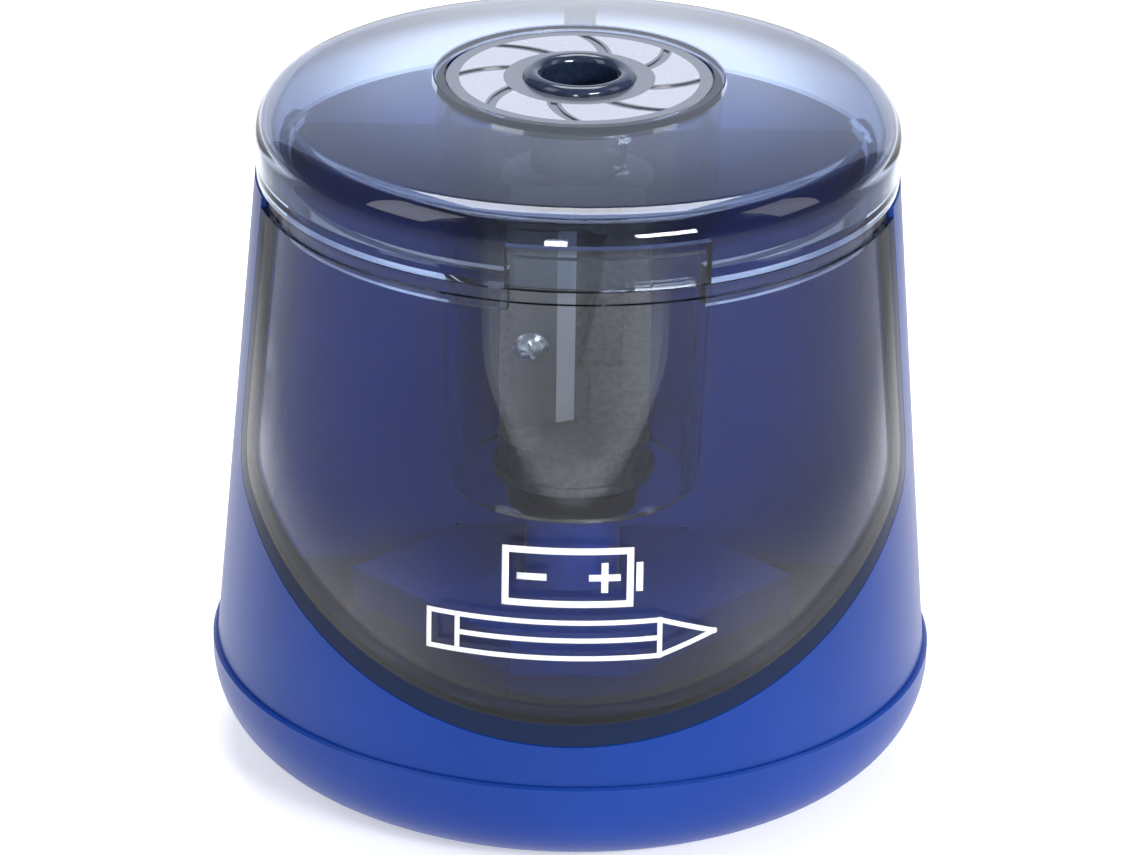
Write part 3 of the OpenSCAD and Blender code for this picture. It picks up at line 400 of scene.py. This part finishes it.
# %% [markdown]
# ## The cells' jackets
# A plain cell wears a printed plastic sleeve. Here the sleeve is a long dark band and a
# short coppery one, cut by the height in Object coordinates, so one material dresses the
# whole cell. The cells stand opposite ways up, so each has its own cut. They carry no words.

# %% Cell jackets
DARK_BAND, COPPER_BAND = (0.02, 0.02, 0.024), (0.42, 0.22, 0.05)
SHORT_BAND = 15 * MM


def cell_jacket(name, split_z, low_band, high_band):
    material, shader = new_material(name)
    above = maths(material, "GREATER_THAN", place_xyz(material)[2], split_z)
    mix = two_tone(material, above, low_band, high_band)
    join(material, mix.outputs["Result"], shader.inputs["Base Color"])
    set_shader(shader, metal=0.6, coat=0.5, coat_rough=0.1)
    fine = noise(material, 700)
    vary_rough(material, shader, fine.outputs["Fac"], 0.22, 0.32)
    return material


right_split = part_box("cell_right")[1][2] - SHORT_BAND
left_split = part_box("cell_left")[0][2] + SHORT_BAND
right_jacket = cell_jacket("cell_jacket_right", right_split, DARK_BAND, COPPER_BAND)
left_jacket = cell_jacket("cell_jacket_left", left_split, COPPER_BAND, DARK_BAND)
print("cell split heights", right_split, left_split)

# %% [markdown]
# ## The ground edge of the blade
# The blade is rolled steel with a freshly ground bevel beside its edge. Grinding leaves a
# rough, paler face; the bevel's tone here is paler and less metallic still, a painted
# highlight that looks bright from almost anywhere. The bevel could be a separate
# sliver of metal, but a mask on X in Object coordinates marks exactly the same strip.

# %% Blade
BEVEL_X = -2.0 * MM


def blade_finish():
    material, shader = new_material("ground_blade")
    bevel_and_highlight = maths(material, "GREATER_THAN", place_xyz(material)[0], BEVEL_X)
    scratches = noise(material, 1200, 3, (1, 1, 8))
    streak = maths(material, "MULTIPLY", scratches.outputs["Fac"], 0.12)
    # The bevel's pale tone and low metal: partly the grind, partly a painted highlight
    tone = maths(material, "ADD", between(material, bevel_and_highlight, 0.22, 0.84), streak)
    join(material, tone, shader.inputs["Base Color"])
    join(material, between(material, bevel_and_highlight, 1.0, 0.2), shader.inputs["Metallic"])
    join(material, between(material, bevel_and_highlight, 0.32, 0.52), shader.inputs["Roughness"])
    add_bump(material, shader, scratches.outputs["Fac"], 0.15, 0.01)
    return material


blade_steel = blade_finish()
print("made", blade_steel.name)

# %% [markdown]
# ## The printed disc
# The disc round the pencil hole carries a ring of pale swirling vanes on a grey ground.
# Texture paint would need an image. Polar coordinates do it exactly: the solid's grooves
# are arcs of circles through the axis, and such an arc is a spiral angle that depends on
# the radius alone, so one folded angle draws all the gaps at once.

# %% The vanes' mask
VANES, SWING, HALF_GAP = 8, 9.5 * MM, 0.85 * MM
VANE_IN, VANE_OUT = 8.2 * MM, 13.0 * MM


def vane_mask(material):
    x, y = place_xyz(material)[:2]
    radius = axis_distance(material, x, y)
    share = maths(material, "MINIMUM", maths(material, "DIVIDE", radius, 2 * SWING), 1.0)
    arc = maths(material, "ARCCOSINE", share)
    spiral = maths(material, "ADD", maths(material, "ARCTAN2", y, x), arc)
    folded = maths(material, "PINGPONG", spiral, math.pi / VANES)
    is_vane = maths(material, "GREATER_THAN", maths(material, "MULTIPLY", folded, radius), HALF_GAP)
    within = maths(material, "LESS_THAN", radius, VANE_OUT)
    beyond = maths(material, "GREATER_THAN", radius, VANE_IN)
    return maths(material, "MULTIPLY", is_vane, maths(material, "MULTIPLY", within, beyond))


# %% Disc material
def disc_finish():
    material, shader = new_material("printed_disc")
    mix = two_tone(material, vane_mask(material), (0.075, 0.08, 0.10), (0.36, 0.37, 0.43))
    join(material, mix.outputs["Result"], shader.inputs["Base Color"])
    fine = noise(material, 900)
    vary_rough(material, shader, fine.outputs["Fac"], 0.22, 0.30)
    set_shader(shader, coat=0.6, coat_rough=0.05)
    return material


disc_print = disc_finish()
lip_gloss = moulded("lip_gloss", (0.012, 0.020, 0.045), (0.018, 0.030, 0.065), 0.08, 1500, 0.03)
print("made", disc_print.name, lip_gloss.name)

# %% [markdown]
# ## Dress the solids
# A dictionary says which finish each node takes. It could be done by hand in the editor,
# but a table shows at one glance that no node is left bare.

# %% Finish of each node
finishes = {
    "base_shell": blue, "body_shell": blue, "battery_cover": blue, "gear_housing": blue,
    "window": smoke_window, "lid_shell": smoke_lid, "guard_tube": smoke_tube,
    "lid_insert": smoke_tube, "badge_plate": disc_print, "pencil_bush": lip_gloss,
    "rubber_feet": rubber, "cover_feet": rubber,
    "base_screws": turned_steel, "gearbox_screws": turned_steel, "idler_pin": turned_steel,
    "cutter_shaft": turned_steel, "motor_shaft": turned_steel, "motor_can": turned_steel,
    "blade": blade_steel, "blade_screw": bright_steel,
    "cutter_body": cast_metal, "drive_collar": cast_metal, "dust_cap": black_plastic,
    "shaft_bush": brass, "motor_pinion": brass, "motor_terminals": brass,
    "contact_bridge": brass, "start_contacts": brass, "safety_contacts": brass,
    "cover_contact": plated_strip, "cell_contacts": plated_strip,
    "cover_spring": plated_strip, "cell_spring": plated_strip,
    "return_spring": turned_steel, "safety_spring": turned_steel,
    "gearbox_plate": black_plastic, "idler_gear": white_plastic, "output_gear": white_plastic,
    "thrust_cup": white_plastic, "motor_end_cap": white_plastic,
    "safety_pin": white_plastic, "switch_holder": white_plastic,
    "cell_left": left_jacket, "cell_right": right_jacket,
    "lead_start_motor": black_lead, "lead_motor_cell": black_lead,
    "lead_start_safety": red_lead, "lead_safety_cell": red_lead,
}
missing = set(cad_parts) ^ set(finishes)
for name, material in finishes.items():
    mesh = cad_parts[name].data
    mesh.materials.clear()
    mesh.materials.append(material)
print("dressed", len(finishes), "nodes, unmatched:", sorted(missing))

# %% [markdown]
# ## A smoother lid
# The lid is looked through, so every facet of a solid's mesh would show as a ripple. It is
# spun here again from the same section in fine steps. A subdivision modifier could smooth
# the solid instead, but it would also round the crisp steps of the locating ring. The
# section is spun in four sectors: plain behind, with the ring at both sides, and hollowed
# in front where the window's key tab stands.

# %% Numbers of the lid, in millimetres
RIM, SKIRT_Z, WALL = 35.05, 67.2, 2.0
DOME, SHOULDER, APEX, HOLE = 160.0, 4.0, 78.8, 15.8
SKIRT_DRAFT, SKIRT_IN, STEP_Z = 0.15, 34.3, 68.4
RING_IN, RING_OUT, RING_Z = 31.3, 32.45, 63.9
dome_mid = APEX - DOME
round_r = RIM - SHOULDER
round_z = dome_mid + math.sqrt((DOME - SHOULDER) ** 2 - round_r ** 2)
turn = math.acos(round_r / (DOME - SHOULDER))
print("shoulder starts at z =", round(round_z, 2))


# %% Section of the lid
def arc_points(center, radius, start, end, steps):
    angles = [start + (end - start) * i / steps for i in range(steps + 1)]
    return [(center[0] + radius * math.cos(a), center[1] + radius * math.sin(a)) for a in angles]


def dome_points(inset):
    end = math.acos(HOLE / (DOME - inset))
    shoulder = arc_points((round_r, round_z), SHOULDER - inset, 0, turn, 14)
    return shoulder + arc_points((0, dome_mid), DOME - inset, turn, end, 24)[1:]


upper = [(RIM - SKIRT_DRAFT, SKIRT_Z)] + dome_points(0) + dome_points(WALL)[::-1]
inner_r = RIM - WALL
edge = [(inner_r, SKIRT_Z), (SKIRT_IN, SKIRT_Z)]
ring = [(inner_r, STEP_Z), (RING_IN, STEP_Z), (RING_IN, RING_Z), (RING_OUT, RING_Z), (RING_OUT, SKIRT_Z)]
sections = {
    "plain": upper + [(inner_r, STEP_Z)] + edge,
    "ring": upper + ring + edge,
    "key": upper + [(SKIRT_IN, round_z), (SKIRT_IN, SKIRT_Z)],
}
print({name: len(points) for name, points in sections.items()})


# %% Spin a closed section through one sector
STEP_DEGREES = 1.9


def spin_sector(bm, points, start, end):
    along = Vector((math.cos(math.radians(start)), math.sin(math.radians(start)), 0))
    verts = [bm.verts.new((along * r + Vector((0, 0, z))) * MM) for r, z in points]
    edges = [bm.edges.new((verts[i - 1], verts[i])) for i in range(len(verts))]
    bmesh.ops.spin(bm, geom=verts + edges, axis=(0, 0, 1), cent=(0, 0, 0),
                   angle=math.radians(end - start), steps=round((end - start) / STEP_DEGREES))


# %% Turn a bmesh into a piece
SHARP_DEGREES = 30


def make_piece(bm, name, material, body):
    bmesh.ops.recalc_face_normals(bm, faces=bm.faces)
    mesh = bpy.data.meshes.new(name)
    bm.to_mesh(mesh)
    bm.free()
    mesh.shade_smooth()
    mesh.set_sharp_from_angle(angle=math.radians(SHARP_DEGREES))
    mesh.materials.append(material)
    thing = bpy.data.objects.new(name, mesh)
    bpy.context.scene.collection.objects.link(thing)
    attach(thing, body)
    return thing


# %% The lid's sectors
RING_FROM, KEY_FROM, KEY_TO, RING_TO = 160.6, 257.5, 293.9, 379.4
sectors = [
    ("plain", RING_TO - 360, RING_FROM),
    ("ring", RING_FROM, KEY_FROM),
    ("key", KEY_FROM, KEY_TO),
    ("ring", KEY_TO, RING_TO),
]
bm = bmesh.new()
for kind, start, end in sectors:
    spin_sector(bm, sections[kind], start, end)
bmesh.ops.remove_doubles(bm, verts=bm.verts, dist=0.002 * MM)
bmesh.ops.holes_fill(bm, edges=[e for e in bm.edges if e.is_boundary], sides=0)
print("sectors joined:", len(bm.faces), "faces")

# %% The post that presses the safety pin, and the finished lid
POST_R, POST_H = 1.8 * MM, 5.5 * MM
POST_AT = Vector((0, 28.0, 71.15)) * MM
post = bmesh.ops.create_cone(bm, cap_ends=True, segments=32, radius1=POST_R, radius2=POST_R, depth=POST_H)
bmesh.ops.translate(bm, verts=post["verts"], vec=POST_AT)
lid = make_piece(bm, "clear_lid", smoke_lid, "lid")
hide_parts("lid_shell")
print("lid:", len(lid.data.polygons), "faces")

# %% [markdown]
# ## The spring under the cutter
# The cutter's return spring stands on the gearbox plate and gets shorter when a pencil
# presses the cutter down. Riding along with the cutter, it would sink into the plate. A
# copy that stays with the base keeps its place instead.

# %% Return spring
bm = bmesh.new()
bm.from_mesh(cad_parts["return_spring"].data)
bmesh.ops.remove_doubles(bm, verts=bm.verts, dist=0.001 * MM)
spring = make_piece(bm, "pressed_spring", turned_steel, "root")
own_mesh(spring)
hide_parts("return_spring")

# %% [markdown]
# ## Print on the window
# Two white pictures sit on the window: a battery and a pencil. A picture could be cut out
# with a mask in the window's material, but ink lies on top of the plastic and is opaque,
# so it is made of thin bars that are laid flat, then bent to the window's cone.

# %% Bars of a picture
def lay_bar(bm, start, end, width):
    start, end = Vector(start), Vector(end)
    length = (end - start).length
    bar = bmesh.ops.create_grid(bm, x_segments=max(1, round(length)), y_segments=1, size=0.5)["verts"]
    bmesh.ops.scale(bm, verts=bar, vec=(length + width, width, 1))
    lean = math.atan2(end.y - start.y, end.x - start.x)
    bmesh.ops.rotate(bm, verts=bar, cent=(0, 0, 0), matrix=Matrix.Rotation(lean, 3, "Z"))
    middle_point = (start + end) / 2
    bmesh.ops.translate(bm, verts=bar, vec=(middle_point.x, middle_point.y, 0))


def draw_path(bm, points, width):
    for start, end in zip(points, points[1:]):
        lay_bar(bm, start, end, width)


# %% Bend a flat picture to the window
def bend_to_window(bm, lift):
    for v in bm.verts:
        height = v.co.y
        radius = CONE_R - CONE_LEAN * (height - CONE_Z) + lift
        angle = v.co.x / radius
        v.co = Vector((radius * math.sin(angle), -radius * math.cos(angle), height)) * MM


# %% Print a picture
INK_LIFT, INK_THICK = 0.02, 0.03


def printed(name, paths, width):
    bm = bmesh.new()
    for path in paths:
        draw_path(bm, path, width)
    bend_to_window(bm, INK_LIFT)
    thing = make_piece(bm, name, white_print, "root")
    thick = thing.modifiers.new("ink", "SOLIDIFY")
    thick.thickness = INK_THICK * MM
    thick.offset = 1
    return thing


# %% The two pictures, in millimetres across and up
white_print = moulded("white_print", (0.80, 0.82, 0.86), (0.86, 0.88, 0.92), 0.45)
battery = [
    [(-7, 32.9), (6.2, 32.9), (6.2, 38.8), (-7, 38.8), (-7, 32.9)],
    [(7.2, 34.6), (7.2, 37.1)],
    [(2.2, 35.85), (4.8, 35.85)],
    [(3.5, 34.55), (3.5, 37.15)],
    [(-5.4, 35.85), (-3.0, 35.85)],
]
pencil = [
    [(9.5, 26.8), (-15.4, 26.8), (-15.4, 30.8), (9.5, 30.8), (15.6, 28.8), (9.5, 26.8)],
    [(-12.2, 26.8), (-12.2, 30.8)],
    [(-12.2, 28.8), (9.5, 28.8)],
    [(9.5, 26.8), (9.5, 30.8)],
]
battery_print = printed("battery_print", battery, 0.75)
pencil_print = printed("pencil_print", pencil, 0.55)
print("print:", len(battery_print.data.polygons) + len(pencil_print.data.polygons), "faces")

# %% [markdown]
# ## Floor and light
# A white table top with a wall behind it gives clear plastic something pale to show. Both
# glow a little, which a light behind a translucent sheet would do too. The table fades to
# grey in front and at the sides, so that the window mirrors something darker and can be
# seen through, and the wall is a cool white, which the dome mirrors. Soft area lights stand
# left, right and above. A small one in front makes the one crisp reflection on the lid's
# skirt, and a low one shines through the window onto the cutter.

# %% White paper, in metres
GREY, WHITE, COOL_WHITE = 0.35, 0.85, (0.62, 0.74, 1.0)
LOW_GLOW, HIGH_GLOW = 0.45, 0.90
SIDE_X, STRIP_X = 0.15, 0.085
NEAR_Y, FAR_Y = 0.20, 0.40
FRONT_Y, OBJECT_Y = -0.13, -0.04
LOW_Z, HIGH_Z = 0.2, 0.6


def white_paper():
    material, shader = new_material("white_paper")
    x, y, z = place_xyz(material)
    middle_strip = fade(material, maths(material, "ABSOLUTE", x), SIDE_X, STRIP_X)
    far_part = fade(material, y, NEAR_Y, FAR_Y)
    off_front = fade(material, y, FRONT_Y, OBJECT_Y)
    widest = maths(material, "MAXIMUM", middle_strip, far_part)
    bright = maths(material, "MULTIPLY", widest, off_front)
    high = fade(material, z, LOW_Z, HIGH_Z)
    glow = maths(material, "MULTIPLY", bright, between(material, high, LOW_GLOW, HIGH_GLOW))
    join(material, glow, shader.inputs["Emission Strength"])
    join(material, between(material, bright, GREY, WHITE), shader.inputs["Base Color"])
    tone = two_tone(material, high, (1, 1, 1), COOL_WHITE)
    join(material, tone.outputs["Result"], shader.inputs["Emission Color"])
    set_shader(shader, rough=0.9, specular=0.1)
    return material


# %% Backdrop
def backdrop():
    bm = bmesh.new()
    bmesh.ops.create_grid(bm, x_segments=1, y_segments=1, size=1.5)
    back = [e for e in bm.edges if all(v.co.y > 1 for v in e.verts)]
    moved = bmesh.ops.extrude_edge_only(bm, edges=back)["geom"]
    rising = [v for v in moved if isinstance(v, bmesh.types.BMVert)]
    bmesh.ops.translate(bm, verts=rising, vec=(0, 0, 2))
    mesh = bpy.data.meshes.new("backdrop")
    bm.to_mesh(mesh)
    bm.free()
    thing = bpy.data.objects.new("backdrop", mesh)
    bpy.context.scene.collection.objects.link(thing)
    mesh.materials.append(white_paper())
    return thing


floor = backdrop()
print("backdrop of", len(floor.data.polygons), "faces")

# %% Lights
MIDDLE = Vector((0, 0, 0.04))


def area_light(name, place, watts, width, height):
    data = bpy.data.lights.new(name, "AREA")
    data.shape = "RECTANGLE"
    data.size = width
    data.size_y = height
    data.energy = watts
    light = bpy.data.objects.new(name, data)
    light.location = place
    aim = MIDDLE - Vector(place)
    light.rotation_euler = aim.to_track_quat("-Z", "Y").to_euler()
    bpy.context.scene.collection.objects.link(light)


area_light("left_box", (-0.55, -0.25, 0.45), 1.1, 0.30, 0.45)
area_light("right_box", (0.65, -0.10, 0.40), 0.7, 0.25, 0.45)
area_light("top_box", (0, 0.25, 0.9), 7, 0.6, 0.4)
area_light("front_box", (0.30, -0.50, 0.30), 3.0, 0.22, 0.10)
area_light("low_box", (-0.09, -0.75, 0.10), 1.7, 0.10, 0.20)

# %% Surroundings
WORLD_COLOR, WORLD_STRENGTH = (0.92, 0.95, 1.0, 1), 0.30
world = bpy.data.worlds.new("studio")
world.use_nodes = True
background = world.node_tree.nodes["Background"]
background.inputs["Color"].default_value = WORLD_COLOR
background.inputs["Strength"].default_value = WORLD_STRENGTH
bpy.context.scene.world = world
bpy.context.scene.view_settings.view_transform = "Standard"
print("world strength", WORLD_STRENGTH)
